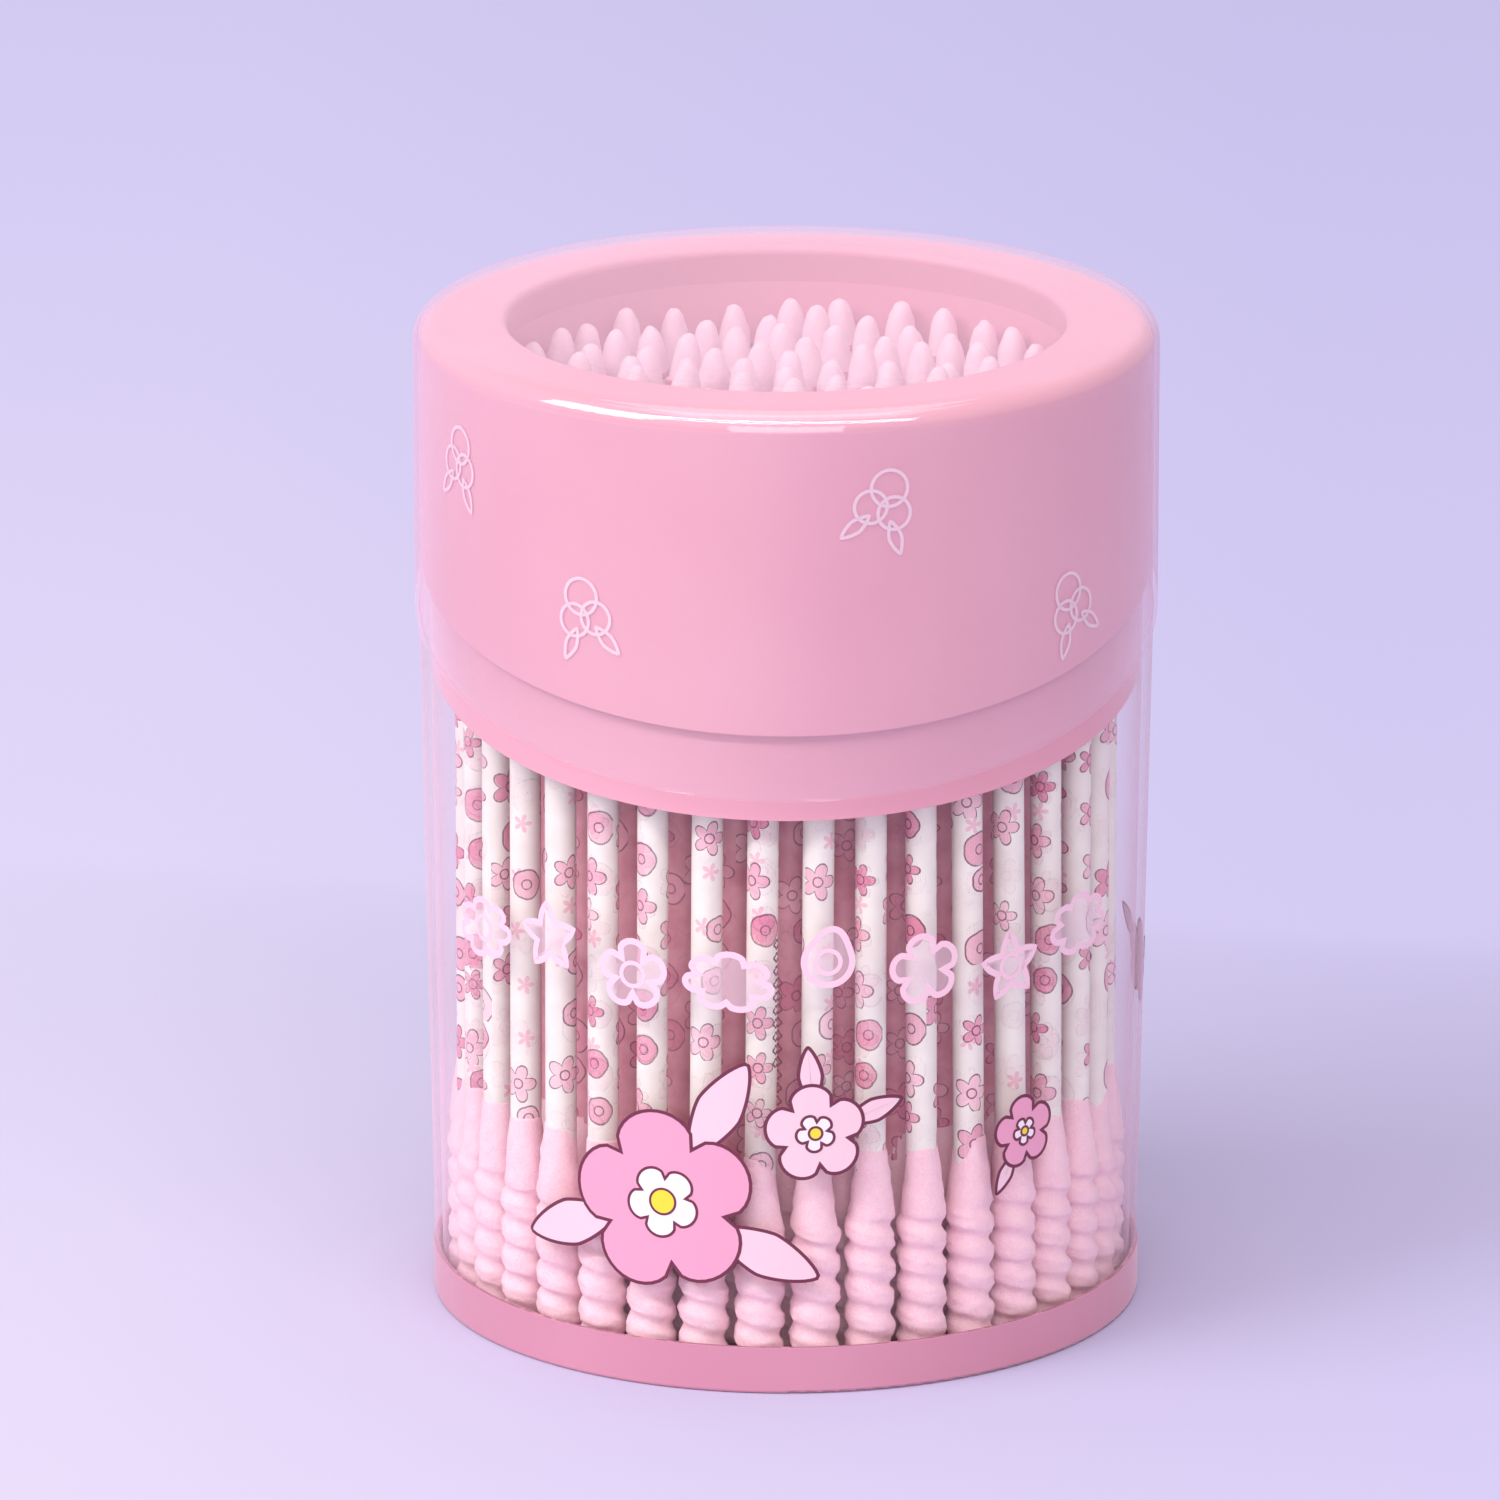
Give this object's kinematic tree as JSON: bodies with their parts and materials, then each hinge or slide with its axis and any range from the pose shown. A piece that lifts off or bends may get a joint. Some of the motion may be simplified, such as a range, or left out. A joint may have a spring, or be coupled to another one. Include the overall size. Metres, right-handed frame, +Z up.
{
  "type": "cotton swab tub",
  "caption": "Round clear tub with a pink base and collar, a slanted clear lift-off cap, and paper-stick cotton swabs standing inside.",
  "frame": {"origin": "centre of the foot, on the surface that the tub stands on", "axes": "+Z up along the tub's axis, -Y towards the low side of the slanted seam, +X right"},
  "size_m": [0.0572, 0.0572, 0.0783],
  "materials": {
    "pink_plastic": "smooth satin moulding, slightly milky",
    "clear_plastic": "clear glossy thin plastic with a few printed line motifs",
    "printed_paper": "smooth rolled paper with small pink and plum prints",
    "pink_cotton": "soft wound cotton"
  },
  "bodies": {
    "tub": {"base_cup": "pink_plastic", "clear_tube": "clear_plastic", "collar": "pink_plastic", "paper_sticks_ring_0": "printed_paper", "spiral_buds_ring_0": "pink_cotton", "pointed_buds_ring_0": "pink_cotton", "paper_sticks_ring_1": "printed_paper", "spiral_buds_ring_1": "pink_cotton", "pointed_buds_ring_1": "pink_cotton", "paper_sticks_ring_2": "printed_paper", "spiral_buds_ring_2": "pink_cotton", "pointed_buds_ring_2": "pink_cotton", "paper_sticks_ring_3": "printed_paper", "spiral_buds_ring_3": "pink_cotton", "pointed_buds_ring_3": "pink_cotton", "paper_sticks_ring_4": "printed_paper", "spiral_buds_ring_4": "pink_cotton", "pointed_buds_ring_4": "pink_cotton", "paper_sticks_ring_5": "printed_paper", "spiral_buds_ring_5": "pink_cotton", "pointed_buds_ring_5": "pink_cotton", "paper_sticks_ring_6": "printed_paper", "spiral_buds_ring_6": "pink_cotton", "pointed_buds_ring_6": "pink_cotton"},
    "lid": {"clear_cap": "clear_plastic"}
  },
  "joints": [
    {"name": "cap_lift", "type": "slide", "parent": "tub", "child": "lid", "axis": [0, 0, 1], "range_m": [0, 0.034]}
  ]
}
